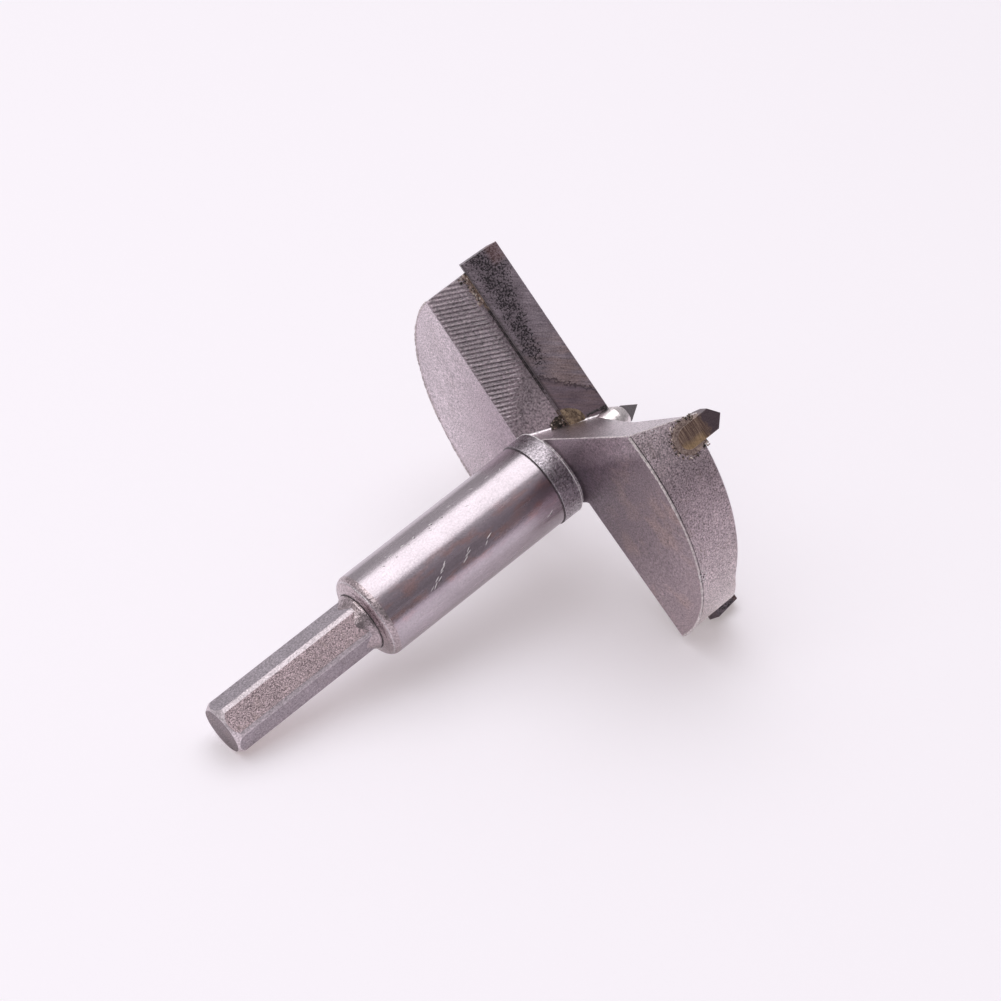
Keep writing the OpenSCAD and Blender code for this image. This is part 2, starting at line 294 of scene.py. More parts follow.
def back_painted_shade(nt, c):
    """Painted shade on the backs: darker and a little brownish towards the collar, and darker all over
    on the first wing, most towards the hub; with a brown patch on the first wing.
    """
    x, y, z = parts(nt, c)
    away = away_from_axis(nt, c)
    # painted shade: the second wing's back darker towards the collar
    second = blend(nt, span(nt, away, 7.0, 30.0, 0.0, 1.0, True), (0.64, 0.58, 0.62), (1.0, 1.0, 1.0))
    # painted shade: the first wing's back darker all over, darkest towards the hub
    lead = calc(nt, "ADD", calc(nt, "MULTIPLY", away, 0.55), calc(nt, "MULTIPLY", x, 0.45))
    first = blend(nt, span(nt, lead, 5.0, 32.0), (0.27, 0.24, 0.275), (0.75, 0.68, 0.69))
    # a brown patch on the first wing's back
    patch = span(nt, noise(nt, c, 0.14, 3.0, 0.6), 0.5, 0.64, 0.0, 0.5)
    first = blend(nt, calc(nt, "MULTIPLY", patch, span(nt, away, 10.0, 20.0)), first, (0.80, 0.66, 0.57))
    return blend(nt, span(nt, x, -1.0, 1.0), second, first)


def rim_tint(nt, c):
    """The rim darkens from the blade towards the spur, and is paler again past it."""
    x, y, z = parts(nt, c)
    side = calc(nt, "ABSOLUTE", y)
    past = calc(nt, "MULTIPLY", x, calc(nt, "SIGN", y))
    col = blend(nt, span(nt, side, 10.0, 31.0), (1.0, 1.0, 1.0), (0.62, 0.56, 0.61))
    return blend(nt, span(nt, past, -7.0, 3.0), col, (1.17, 1.09, 1.16))


def rake_tint(nt, c):
    """The rake faces are paler towards the web."""
    return grey(nt, span(nt, away_from_axis(nt, c), 9.0, 17.0, 1.35, 1.0))


def body_tint_and_shade(nt, c):
    """Reddish temper colours along one side of the round body, and painted shade on its lower side."""
    x, y, z = parts(nt, c)
    turn = calc(nt, "ARCTAN2", y, x)
    side = calc(nt, "ABSOLUTE", calc(nt, "ADD", turn, math.radians(88)))
    band = span(nt, side, math.radians(30), math.radians(8), 0.0, 1.0, True)
    drift = span(nt, noise(nt, stretch(nt, c, (1.0, 1.0, 0.35)), 0.8, 3.0), 0.5, 0.66)
    col = blend(nt, calc(nt, "MULTIPLY", band, 0.9), (1.0, 1.0, 1.0), (0.98, 0.90, 0.96))
    col = blend(nt, calc(nt, "MULTIPLY", band, drift), col, (1.12, 0.86, 0.82))
    # painted shade: the lower side of the body darker
    under_shade = span(nt, turn, math.radians(-62), math.radians(-25))
    return blend(nt, under_shade, col, (0.83, 0.81, 0.82))


def carbide_blade(name, i):
    """Ground carbide: slanting grinding marks, black specks outside, a dark heat tint inside, painted
    shade along the back edge.
    """
    m, nt, bsdf = material(name)
    c = coords(nt, blade_frame(i))
    x, y, z = parts(nt, c)
    fine = noise(nt, c, 4.0, 3.0, 0.65)
    soft = noise(nt, c, 0.35, 4.0, 0.6)
    across = calc(nt, "ADD", calc(nt, "MULTIPLY", x, 0.79), calc(nt, "MULTIPLY", z, 0.62))
    along = calc(nt, "SUBTRACT", calc(nt, "MULTIPLY", x, 0.62), calc(nt, "MULTIPLY", z, 0.79))
    grind = node(nt, "ShaderNodeCombineXYZ")
    put(nt, grind.inputs[0], calc(nt, "MULTIPLY", across, 3.2))
    put(nt, grind.inputs[1], calc(nt, "MULTIPLY", along, 0.35))
    put(nt, grind.inputs[2], y)
    marks = noise(nt, grind.outputs[0], 1.0, 3.0, 0.6)
    col = blend(nt, span(nt, soft, 0.35, 0.65), (0.305, 0.25, 0.285), (0.415, 0.345, 0.39))
    drift = span(nt, noise(nt, grind.outputs[0], 0.5, 2.0), 0.4, 0.6)
    brown = calc(nt, "MULTIPLY", span(nt, x, 20.0, 13.0), drift)
    col = blend(nt, calc(nt, "MULTIPLY", brown, 0.6), col, (0.36, 0.26, 0.24))
    col = blend(nt, 1.0, col, grey(nt, span(nt, fine, 0.3, 0.7, 0.6, 1.4)), "MULTIPLY")
    col = blend(nt, 1.0, col, grey(nt, span(nt, marks, 0.3, 0.7, 0.66, 1.32)), "MULTIPLY")
    # heat tint with a scalloped, dark border
    scallop = span(nt, noise(nt, c, 1.3, 3.0), 0.3, 0.7, -0.7, 0.7)
    side = calc(nt, "ADD", calc(nt, "ADD", x, calc(nt, "MULTIPLY", z, 1.08)), scallop)
    inner = span(nt, side, 6.1, 5.9)
    border = calc(nt, "MULTIPLY", span(nt, side, 5.5, 5.95), span(nt, side, 6.35, 6.0))
    col = blend(nt, calc(nt, "MULTIPLY", inner, 0.55), col, (0.17, 0.12, 0.15))
    col = blend(nt, calc(nt, "MULTIPLY", border, 0.75), col, (0.05, 0.04, 0.045))
    # specks in a band that drifts from the middle of the outer end to the back edge further in
    centre = span(nt, x, 12.0, 30.0, -5.4, -3.2)
    off = calc(nt, "ABSOLUTE", calc(nt, "SUBTRACT", z, centre))
    width = span(nt, x, 20.0, 33.0, 1.6, 3.1)
    band = span(nt, calc(nt, "DIVIDE", off, width), 1.35, 0.45)
    band = calc(nt, "MULTIPLY", band, span(nt, x, 10.5, 17.0))
    thick = span(nt, noise(nt, c, 0.55, 2.0), 0.35, 0.55, 0.45, 1.0)
    few = calc(nt, "MULTIPLY", span(nt, x, 8.0, 13.0), 0.45)
    amount = calc(nt, "ADD", calc(nt, "MULTIPLY", band, thick), few)
    col = blend(nt, calc(nt, "MULTIPLY", band, 0.45), col, (0.12, 0.095, 0.11))
    grit = noise(nt, c, 3.0, 3.0, 0.7)
    level = span(nt, amount, 0.0, 1.3, 0.72, 0.46)
    specks = span(nt, calc(nt, "SUBTRACT", grit, level), 0.0, 0.04)
    col = blend(nt, calc(nt, "MULTIPLY", specks, 0.9), col, (0.022, 0.019, 0.022))
    warm = calc(nt, "MULTIPLY", span(nt, x, 30.5, 31.5), span(nt, z, -2.6, -1.8))
    col = blend(nt, calc(nt, "MULTIPLY", warm, 0.35), col, (0.32, 0.17, 0.16))
    # painted shade: the face darkens towards its back edge, and the side face there is dark
    back_edge_shade = span(nt, z, -BLADE_H + 0.5, -BLADE_H + 0.1, 0.0, 0.6)
    col = blend(nt, back_edge_shade, col, (0.06, 0.05, 0.05))
    normal, edges = rounded_edges(nt, 0.1)
    # pale edges: partly real wear, partly a painted highlight
    col = blend(nt, calc(nt, "MULTIPLY", edges, 0.3), col, (0.5, 0.47, 0.49))
    put(nt, bsdf.inputs["Base Color"], col)
    put(nt, bsdf.inputs["Metallic"], 0.75)
    put(nt, bsdf.inputs["Roughness"], span(nt, fine, 0.3, 0.7, 0.34, 0.5))
    height = calc(nt, "ADD", fine, calc(nt, "MULTIPLY", marks, 0.6))
    height = calc(nt, "SUBTRACT", height, calc(nt, "MULTIPLY", specks, 1.3))
    put(nt, bsdf.inputs["Normal"], bump(nt, height, 0.02, normal))
    return m


def carbide_spur(name, i):
    """Ground carbide bar: dark point, brown shaft with cross lines, and low down on one side a golden
    colour that is partly brass and partly a painted highlight.
    """
    m, nt, bsdf = material(name)
    c = coords(nt, spur_frame(i))
    x, y, z = parts(nt, c)
    fine = noise(nt, c, 6.0, 3.0, 0.6)
    lines = noise(nt, stretch(nt, c, (0.4, 0.25, 5.5)), 1.0, 3.0, 0.7)
    wave = noise(nt, c, 0.8, 3.0)
    up = calc(nt, "ADD", z, span(nt, wave, 0.3, 0.7, -0.5, 0.5))
    shaft = span(nt, up, 77.4, 76.9)
    col = blend(nt, shaft, (0.165, 0.122, 0.137), (0.20, 0.128, 0.108))
    stripe = calc(nt, "MULTIPLY", span(nt, lines, 0.44, 0.6), shaft)
    col = blend(nt, calc(nt, "MULTIPLY", stripe, 0.8), col, (0.56, 0.40, 0.31))
    # low down on one side: partly brass, partly a painted highlight
    brass_glint = calc(nt, "MULTIPLY", span(nt, calc(nt, "ADD", y, wave), 0.7, 1.6), span(nt, up, 76.6, 75.6))
    col = blend(nt, calc(nt, "MULTIPLY", brass_glint, 0.65), col, (0.62, 0.42, 0.23))
    col = blend(nt, 1.0, col, grey(nt, span(nt, fine, 0.3, 0.7, 0.72, 1.2)), "MULTIPLY")
    normal, edges = rounded_edges(nt, 0.1)
    # pale edges: partly real wear, partly a painted highlight
    col = blend(nt, calc(nt, "MULTIPLY", edges, 0.35), col, (0.6, 0.58, 0.58))
    put(nt, bsdf.inputs["Base Color"], col)
    put(nt, bsdf.inputs["Metallic"], 0.8)
    put(nt, bsdf.inputs["Roughness"], span(nt, fine, 0.3, 0.7, 0.3, 0.45))
    put(nt, bsdf.inputs["Normal"], bump(nt, calc(nt, "ADD", fine, lines), 0.012, normal))
    return m


def carbide_plate(name):
    """Ground carbide of the centre point, with fine lines across it."""
    m, nt, bsdf = material(name)
    c = coords(nt, TOOL)
    fine = noise(nt, c, 6.0, 3.0, 0.6)
    lines = noise(nt, stretch(nt, c, (6.0, 0.4, 1.0)), 1.0, 2.0, 0.6)
    col = blend(nt, span(nt, fine, 0.3, 0.7), (0.19, 0.167, 0.18), (0.28, 0.25, 0.267))
    normal, edges = rounded_edges(nt, 0.1)
    # pale edges: partly real wear, partly a painted highlight
    col = blend(nt, calc(nt, "MULTIPLY", edges, 0.4), col, (0.6, 0.58, 0.58))
    put(nt, bsdf.inputs["Base Color"], col)
    put(nt, bsdf.inputs["Metallic"], 0.75)
    put(nt, bsdf.inputs["Roughness"], span(nt, lines, 0.3, 0.7, 0.3, 0.45))
    put(nt, bsdf.inputs["Normal"], bump(nt, calc(nt, "ADD", fine, lines), 0.01, normal))
    return m


def braze(name, tint, dark):
    """Dull brass with flux crust and pits."""
    m, nt, bsdf = material(name)
    c = coords(nt, TOOL)
    lumps = noise(nt, c, 1.6, 4.0, 0.65)
    fine = noise(nt, c, 5.0, 4.0, 0.65)
    col = blend(nt, span(nt, lumps, 0.4, 0.62), dark, tint)
    col = blend(nt, span(nt, fine, 0.56, 0.64), col, tuple(x * 0.35 for x in dark))
    put(nt, bsdf.inputs["Base Color"], col)
    put(nt, bsdf.inputs["Metallic"], 0.6)
    put(nt, bsdf.inputs["Roughness"], span(nt, fine, 0.3, 0.7, 0.4, 0.7))
    put(nt, bsdf.inputs["Normal"], bump(nt, calc(nt, "ADD", lumps, fine), 0.08))
    return m


def bead_mat(name, i):
    """The bead behind a blade: brown brass, with painted shadow of the gap between its ends on the rake
    face.
    """
    m, nt, bsdf = material(name)
    c = coords(nt, blade_frame(i))
    x, y, z = parts(nt, c)
    lumps = noise(nt, c, 1.4, 4.0, 0.65)
    fine = noise(nt, c, 4.0, 4.0, 0.65)
    at = calc(nt, "ADD", x, span(nt, lumps, 0.3, 0.7, -1.5, 1.5))
    ends = calc(nt, "ADD", span(nt, at, 25.5, 27.0), span(nt, at, 6.6, 5.4), True)
    brass = blend(nt, span(nt, lumps, 0.4, 0.62), (0.16, 0.11, 0.085), (0.46, 0.34, 0.26))
    # painted shadow: the bead between its ends on the rake face is dark like the gap beside the blade
    gap_shadow = blend(nt, span(nt, lumps, 0.45, 0.6), (0.035, 0.03, 0.032), (0.12, 0.10, 0.105))
    pale = calc(nt, "MULTIPLY", span(nt, at, 10.5, 9.5), span(nt, at, 5.8, 6.6))
    gap_shadow = blend(nt, calc(nt, "MULTIPLY", pale, 0.8), gap_shadow, (0.33, 0.28, 0.3))
    behind = span(nt, z, -BLADE_H + 0.1, -BLADE_H + 0.6)
    col = blend(nt, calc(nt, "ADD", ends, behind, True), gap_shadow, brass)
    col = blend(nt, span(nt, fine, 0.56, 0.64, 0.0, 0.8), col, (0.03, 0.025, 0.025))
    put(nt, bsdf.inputs["Base Color"], col)
    put(nt, bsdf.inputs["Metallic"], 0.6)
    put(nt, bsdf.inputs["Roughness"], span(nt, fine, 0.3, 0.7, 0.4, 0.7))
    put(nt, bsdf.inputs["Normal"], bump(nt, calc(nt, "ADD", lumps, fine), 0.08))
    return m


def torn(name, tint, low):
    """Torn steel: a scattering surface, mottled down to a share of its tint."""
    m, nt, bsdf = material(name)
    c = coords(nt, TOOL)
    fine = noise(nt, c, 2.5, 3.0, 0.6)
    dark = tuple(x * low for x in tint)
    put(nt, bsdf.inputs["Base Color"], blend(nt, span(nt, fine, 0.35, 0.65), dark, tint))
    put(nt, bsdf.inputs["Metallic"], 0.0)
    put(nt, bsdf.inputs["Roughness"], 0.45)
    put(nt, bsdf.inputs["Normal"], bump(nt, fine, 0.03))
    return m


# Finishes of the steel by surface, and of what lies on it
PLAIN = (0.58, 0.505, 0.54)
ZONES = {
    "hex_rough": steel("hex_rough", (0.59, 0.465, 0.495), rough=0.44, grain=4.5, depth=0.11,
                       speck=0.75, pits=0.3, stain=0.3, stain_tint=(0.47, 0.36, 0.29)),
    "hex_smooth": steel("hex_smooth", (0.52, 0.465, 0.51), rough=0.4, grain=3.4, depth=0.06,
                        speck=0.45, stain=0.1),
    # the low flat of the hex: a darker copy of the smooth flats' steel, painted shade
    "hex_low_shaded": steel("hex_low_shaded", (0.38, 0.33, 0.365), rough=0.42, grain=3.4, depth=0.06, speck=0.45,
                     stain=0.15),
    # the hex's rounded corners in a paler copy of its steel: painted highlight
    "hex_corner_highlight": steel("hex_corner_highlight", (0.58, 0.515, 0.545), rough=0.47, grain=3.4, depth=0.08,
                        speck=0.4),
    "hex_bevel": steel("hex_bevel", (0.66, 0.585, 0.615), rough=0.45, grain=3.4, depth=0.06, speck=0.4),
    "hex_end": steel("hex_end", (0.24, 0.195, 0.21), rough=0.5, grain=4.0, depth=0.10, speck=0.8,
                     cloud=0.15, pits=0.3, stain=0.3, edge_wear_and_highlight=0.9),
    "neck": steel("neck", (0.48, 0.40, 0.42), rough=0.25, grain=2.8, depth=0.09, speck=0.5, cloud=0.2,
                  pits=0.4, stain=0.2),
    "turned": steel("turned", (0.52, 0.462, 0.50), rough=0.25, grain=3.4, depth=0.008, speck=0.13,
                    cloud=0.05, lathe=0.3, edge_wear_and_highlight=0.4, shade=body_tint_and_shade, along=0.12),
    "groove": steel("groove", (0.12, 0.10, 0.11), rough=0.45, grain=3.4, depth=0.06, speck=0.5,
                    edge_wear_and_highlight=0.0),
    "collar": steel("collar", (0.43, 0.385, 0.42), rough=0.28, grain=3.2, depth=0.10, speck=0.7,
                    cloud=0.1, pits=0.3),
    "back": steel("back", PLAIN, rough=0.34, grain=3.6, depth=0.06, speck=0.65, cloud=0.07, pits=0.8,
                  stain=0.1, shade=back_painted_shade),
    "rim": steel("rim", (0.67, 0.595, 0.595), rough=0.42, grain=4.3, depth=0.09, speck=0.8, cloud=0.1,
                 pits=0.5, stain=0.35, shade=rim_tint),
    "rake": steel("rake", (0.34, 0.285, 0.31), rough=0.44, grain=3.0, depth=0.10, speck=0.65,
                  cloud=0.12, pits=0.3, shade=rake_tint),
    "trail": steel("trail", (0.58, 0.51, 0.54), rough=0.32, grain=3.6, depth=0.10, speck=0.75),
    "front": steel("front", PLAIN, rough=0.42, grain=3.4, depth=0.05, speck=0.35, cloud=0.08, pits=0.3),
    # paler steel for the vertex fillets: painted highlight
    "bright_highlight": steel("bright_highlight", (0.80, 0.74, 0.77), rough=0.3, grain=2.6, depth=0.04, speck=0.3,
                    edge_wear_and_highlight=0.3),
    "cone": steel("cone", (0.86, 0.79, 0.80), rough=0.34, grain=3.0, depth=0.03, speck=0.25,
                  cloud=0.08, lathe=0.3),
}
LOOSE = {
    "pale": torn("pale", (0.95, 0.90, 0.91), 0.8),
    "burr": torn("burr", (0.92, 0.82, 0.82), 0.45),
    # dark steel that paints shade: in creases, beside burrs, beside nicks and scratches, and in gaps
    "line": torn("line", (0.05, 0.042, 0.045), 0.5),
    "braze": braze("braze", (0.36, 0.265, 0.18), (0.13, 0.09, 0.065)),
    "crust": braze("crust", (0.50, 0.385, 0.34), (0.22, 0.155, 0.14)),
    "pale_crust": braze("pale_crust", (0.85, 0.76, 0.70), (0.50, 0.41, 0.36)),
    "dark_crust": braze("dark_crust", (0.14, 0.11, 0.085), (0.035, 0.03, 0.027)),
}
MATS = {**ZONES, **LOOSE}


def face_zone(c, n):
    """Name of the surface that a face of the steel belongs to, from its centre and normal."""
    r = math.hypot(c.x, c.y)
    out = (n.x * c.x + n.y * c.y) / max(r, 1e-6)
    if c.z < HEX_END and r < 5.2:
        if c.z < 2 and n.z < -0.2:
            return "hex_end" if n.z < -0.95 else "hex_bevel"
        if c.z > 23 and n.z < -0.04:
            return "neck"
        turn = (math.degrees(math.atan2(n.y, n.x)) - FLAT_ANGLE) % 360 / 60
        side = round(turn) % 6
        if abs(turn - round(turn)) > 0.1:
            return "hex_corner_highlight"
        if side % 2 == 1:
            return "hex_rough"
        return "hex_low_shaded" if side == 4 else "hex_smooth"
    if c.z < NECK_END:
        return "neck"
    if r < 8 and abs(c.z - GROOVE) < 0.25 and abs(n.z) > 0.2:
        return "groove"
    if c.z < GROOVE and r < 8:
        return "turned"
    if c.z < COLLAR_END + 0.2 and r < 8:
        return "collar"
    if r < 3 and c.z > BACK + 11:
        return "cone"
    if n.z < -0.9:
        return "back"
    if out > 0.9 and r > RIM_R - 1:
        return "rim"
    if n.z > 0.85:
        return "front"
    if abs(n.y) > 0.85 and n.z < -0.1:
        return "rake"
    return "trail"


def finish_piece(mesh, name, mats, smooth=30):
    obj = bpy.data.objects.new(name, mesh)
    bpy.context.scene.collection.objects.link(obj)
    for m in mats:
        mesh.materials.append(MATS[m])
    mesh.set_sharp_from_angle(angle=math.radians(smooth))
    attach(obj, "root")
    return obj


def steel_skin():
    """A copy of the steel with each surface in its own finish."""
    mesh = frame["nodes"]["body"].data.copy()
    mesh.name = "steel_skin"
    mesh.materials.clear()
    zones = list(ZONES)
    spin = TO_TOOL.to_3x3().normalized()
    for p in mesh.polygons:
        p.use_smooth = True
        p.material_index = zones.index(face_zone(TO_TOOL @ p.center, spin @ p.normal))
    obj = finish_piece(mesh, "steel_skin", zones)
    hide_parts("body")
    return obj


def mesh_from(name, verts, faces):
    mesh = bpy.data.meshes.new(name)
    mesh.from_pydata([tuple(v) for v in verts], [], [tuple(f) for f in faces])
    mesh.update()
    for p in mesh.polygons:
        p.use_smooth = True
    return mesh


def mesh_of(bm, name):
    """The shapes gathered in a bmesh, as one smooth mesh."""
    mesh = bpy.data.meshes.new(name)
    bm.to_mesh(mesh)
    bm.free()
    for p in mesh.polygons:
        p.use_smooth = True
    return mesh


def grid_faces(rows, cols):
    out = []
    for a in range(rows - 1):
        for b in range(cols - 1):
            k = a * cols + b
            out.append((k, k + 1, k + cols + 1, k + cols))
    return out


def back_at(x, y):
    """Height of a wing's back under a point of the first wing."""
    along = x * math.cos(BACK_TURN) - y * math.sin(BACK_TURN)
    return BACK - BACK_TILT * (RIM_R - along)


def rake_point(x, h, out=0.0):
    """A point of the first wing's milled face, from the distance along it and up it."""
    d = out - PROUD
    y = CUT_LEAD + d * math.cos(RAKE) + h * math.sin(RAKE)
    z = CUT - d * math.sin(RAKE) + h * math.cos(RAKE)
    return Vector((x, y, z))


def rake_ends(h):
    """Where the milled face starts at the web and ends at the rim, at a height up the face."""
    p = rake_point(0, h)
    web = WEB_HALF - math.tan(TRAIL_LEAN) * (p.z - BACK)
    x_in = (web - p.y * math.sin(TRAIL_SKEW)) / math.cos(TRAIL_SKEW)
    return x_in, math.sqrt(RIM_R ** 2 - p.y ** 2)


def trail_point(y, z):
    """A point of the first wing's trailing face."""
    web = WEB_HALF - math.tan(TRAIL_LEAN) * (z - BACK)
    return Vector(((-web - y * math.sin(TRAIL_SKEW)) / math.cos(TRAIL_SKEW), y, z))


def milled_ridges(i):
    """Slanting ridges that the cutter left across a rake face, fading towards the web and the blade."""
    rng = np.random.default_rng(11 + i)
    lean = 0.43
    pitch = 0.75
    height = 0.32
    skin = 0.01
    sunk = -0.04
    rows = 56
    cols = 560
    top = -BLADE_H - 0.3
    level = rng.uniform(0.8, 1.15, 80)
    shift = rng.uniform(-0.05, 0.05, 80)
    m = wing_frame(i) @ Matrix.Scale(MM, 4)
    verts = []
    for a in range(rows):
        up = max(0, a - 1) / (rows - 3) if a < rows - 1 else 1.0
        for b in range(cols):
            along = max(0, b - 1) / (cols - 3) if b < cols - 1 else 1.0
            x = 6 + 26 * along
            low = (back_at(x, -4.9) - CUT - PROUD * math.sin(RAKE)) / math.cos(RAKE)
            h = low + (top - low) * min(up, 1.0)
            x_in, x_out = rake_ends(h)
            x = x_in + 0.15 + (x_out - 0.02 - x_in - 0.15) * min(along, 1.0)
            phase = (x + lean * h) / pitch + 40
            k = int(phase) % 80
            t = phase - int(phase) + shift[k]
            crest = max(0.0, 1 - abs(2 * t - 1)) ** 0.9
            fade = min(1, max(0, (x - h - 21.5) / 4)) * min(1, (top - h) / 1.6 + 0.25)
            fade *= min(1, (h - low) / 0.4 + 0.15 * i)
            d = skin + height * crest * level[k] * fade
            if a in (0, rows - 1) or b in (0, cols - 1):
                d = sunk
            verts.append(m @ rake_point(x, h, d))
    mesh = mesh_from("milled_ridges_%d" % (i + 1), verts, grid_faces(rows, cols))
    return finish_piece(mesh, mesh.name, ["rake"], 50)


def grains(name, places, mat, seed, size):
    """Small rounded lumps at the given places, as one piece."""
    rng = random.Random(seed)
    bm = bmesh.new()
    for p in places:
        s = size * rng.uniform(0.5, 1.25) * MM
        size_xyz = (rng.uniform(0.7, 1.3), rng.uniform(0.7, 1.3), rng.uniform(0.7, 1.2), 1)
        turn = rng.uniform(0, 6.28)
        about = Vector((rng.random(), rng.random(), rng.random() + 0.1))
        place = Matrix.Translation(p) @ Matrix.Rotation(turn, 4, about) @ Matrix.Diagonal(size_xyz)
        bmesh.ops.create_icosphere(bm, subdivisions=2, radius=s, matrix=place)
    return finish_piece(mesh_of(bm, name), name, [mat], 60)


def spur_crust(i):
    """Grainy crust of brass and flux on the rim round the foot of a spur."""
    rng = random.Random(40 + i)
    m = spur_frame(i) @ Matrix.Scale(MM, 4)
    sets = {"crust": [], "pale_crust": [], "dark_crust": []}
    for k in range(760):
        a = rng.uniform(math.pi * 0.95, math.pi * 2.05)
        d = SPUR_W / 2 + 0.05 + min(1.3, abs(rng.gauss(0, 0.6)))
        y = d * math.cos(a)
        z = SPUR_NECK + d * math.sin(a)
        if rng.random() < 0.35:
            y = math.copysign(SPUR_W / 2 + 0.05 + min(1.0, abs(rng.gauss(0, 0.4))), y)
            z = SPUR_NECK + rng.uniform(0, 2.6)
        if z > SPUR_NECK + 2.4:
            continue
        x = math.sqrt(RIM_R ** 2 - y * y) + rng.uniform(-0.09, 0.02)
        pick = rng.choices(list(sets), (0.4, 0.25, 0.35))[0]
        sets[pick].append(m @ Vector((x, y, z)))
    for k, (mat, places) in enumerate(sets.items()):
        grains("spur_%s_%d" % (mat, i + 1), places, mat, 50 + i + 7 * k, 0.15)


def blade_crust(i):
    """Dark crust in the corner behind a blade's inner end, brown brass behind its outer end."""
    rng = random.Random(60 + i)
    m = wing_frame(i) @ Matrix.Scale(MM, 4)
    sets = {"crust": [], "pale_crust": [], "dark_crust": []}
    for k in range(260):
        h = -BLADE_H - 0.1 - 2.2 * rng.random() ** 1.2
        x_in, x_out = rake_ends(h)
        wide = 1.9 * math.sqrt(max(0.02, 1 + (h + BLADE_H) / 2.6))
        x = x_in + 0.1 + wide * rng.random()
        pick = rng.choices(list(sets), (0.12, 0.04, 0.84))[0]
        sets[pick].append(m @ rake_point(x, h, rng.uniform(-0.03, 0.16)))
    for k in range(200):
        x = 32.2 - 5.4 * rng.random() ** 1.1
        h = -BLADE_H - 0.15 - abs(rng.gauss(0, 0.42))
        pick = rng.choices(list(sets), (0.6, 0.22, 0.18))[0]
        sets[pick].append(m @ rake_point(x, h, rng.uniform(-0.04, 0.1)))
    for k, (mat, places) in enumerate(sets.items()):
        grains("blade_%s_%d" % (mat, i + 1), places, mat, 70 + i + 7 * k, 0.2)


def braze_patch(i):
    """Brass that ran over the inner end of a blade's face, in the corner with the web."""
    rng = random.Random(80 + i)
    m = blade_frame(i) @ Matrix.Scale(MM, 4)
    rings = 14
    spokes = 40
    wobble = [rng.uniform(-0.06, 0.06) for k in range(4)]
    tilt = math.atan2(0.42, 1.0)
    wide = 3.1
    tall = 2.9
    thick = 0.2
    x0 = 3.5
    h0 = -BLADE_H + 0.02
    verts = []
    for a in range(rings + 1):
        f = a / rings
        for b in range(spokes + 1):
            t = (math.pi / 2 + tilt) * b / spokes
            edge = 1 + sum(w * math.sin((k + 1) * 1.7 * t + k) for k, w in enumerate(wobble))
            x = x0 + wide * f * edge * math.cos(t)
            h = h0 + tall * f * edge * math.sin(t)
            rough = 0.03 * math.sin(9 * x + 4 * h) * math.sin(7 * h - 3 * x)
            y = (thick + rough) * (1 - f ** 3) - (0.04 if a == rings else 0)
            verts.append(m @ Vector((x, y, h)))
    mesh = mesh_from("braze_patch_%d" % (i + 1), verts, grid_faces(rings + 1, spokes + 1))
    return finish_piece(mesh, mesh.name, ["braze"], 60)


def inner_gap_shadow(i):
    """Dark grains that paint the shadow in the gap between a blade's inner end, the web and the cone."""
    rng = random.Random(120 + i)
    m = blade_frame(i) @ Matrix.Scale(MM, 4)
    places = []
    for k in range(110):
        f = rng.random()
        h = -3.4 + 3.3 * f
        x = 3.4 - 0.7 * f * f + rng.uniform(-1, 1) * (0.06 + 0.4 * f ** 3)
        places.append(m @ Vector((x, rng.uniform(-0.08, 0.02), h)))
    grains("inner_gap_%d" % (i + 1), places, "line", 125 + i, 0.14)


def vertex_fillet(i):
    """Small fillet in the corner between a rake face and the other wing's trailing face, in paler steel
    that adds a painted highlight.
    """
    rows = 60
    cols = 7
    r = 0.34
    m = wing_frame(i) @ Matrix.Scale(MM, 4)
    web_n = Vector((math.cos(TRAIL_LEAN), 0, math.sin(TRAIL_LEAN)))
    web_n.rotate(Matrix.Rotation(TRAIL_SKEW, 3, "Z"))
    rake_n = Vector((0, math.cos(RAKE), -math.sin(RAKE)))
    low = (back_at(6, -4.9) - CUT - PROUD * math.sin(RAKE)) / math.cos(RAKE) + 0.02
    verts = []
    for a in range(rows):
        h = low + (0.0 - low) * a / (rows - 1)
        on_blade = h > -BLADE_H
        x_in, x_out = rake_ends(h)
        p = rake_point(x_in, h)
        if on_blade:
            p = rake_point(x_in - 0.15, h, PROUD)
            web = WEB_HALF - math.tan(TRAIL_LEAN) * (p.z - BACK)
            p.x = (web - p.y * math.sin(TRAIL_SKEW)) / math.cos(TRAIL_SKEW)
        for b in range(cols):
            t = math.pi / 2 * b / (cols - 1)
            q = p + r * (1 - math.sin(t)) * web_n + r * (1 - math.cos(t)) * rake_n
            verts.append(m @ (q + (web_n + rake_n) * 0.015))
    mesh = mesh_from("vertex_fillet_%d" % (i + 1), verts, grid_faces(rows, cols))
    return finish_piece(mesh, mesh.name, ["bright_highlight"], 60)


def tube(name, centres, radii, cols, mat):
    """A thin uneven bead along a row of points."""
    verts = []
    count = len(centres)
    for k, p in enumerate(centres):
        ahead = centres[min(k + 1, count - 1)] - centres[max(k - 1, 0)]
        u = ahead.cross(Vector((0, 0, 1))).normalized()
        v = ahead.cross(u).normalized()
        for b in range(cols + 1):
            t = 2 * math.pi * b / cols
            verts.append(TOOL_MM @ (p + radii[k] * (math.cos(t) * u + math.sin(t) * v)))
    mesh = mesh_from(name, verts, grid_faces(count, cols + 1))
    return finish_piece(mesh, name, [mat], 80)


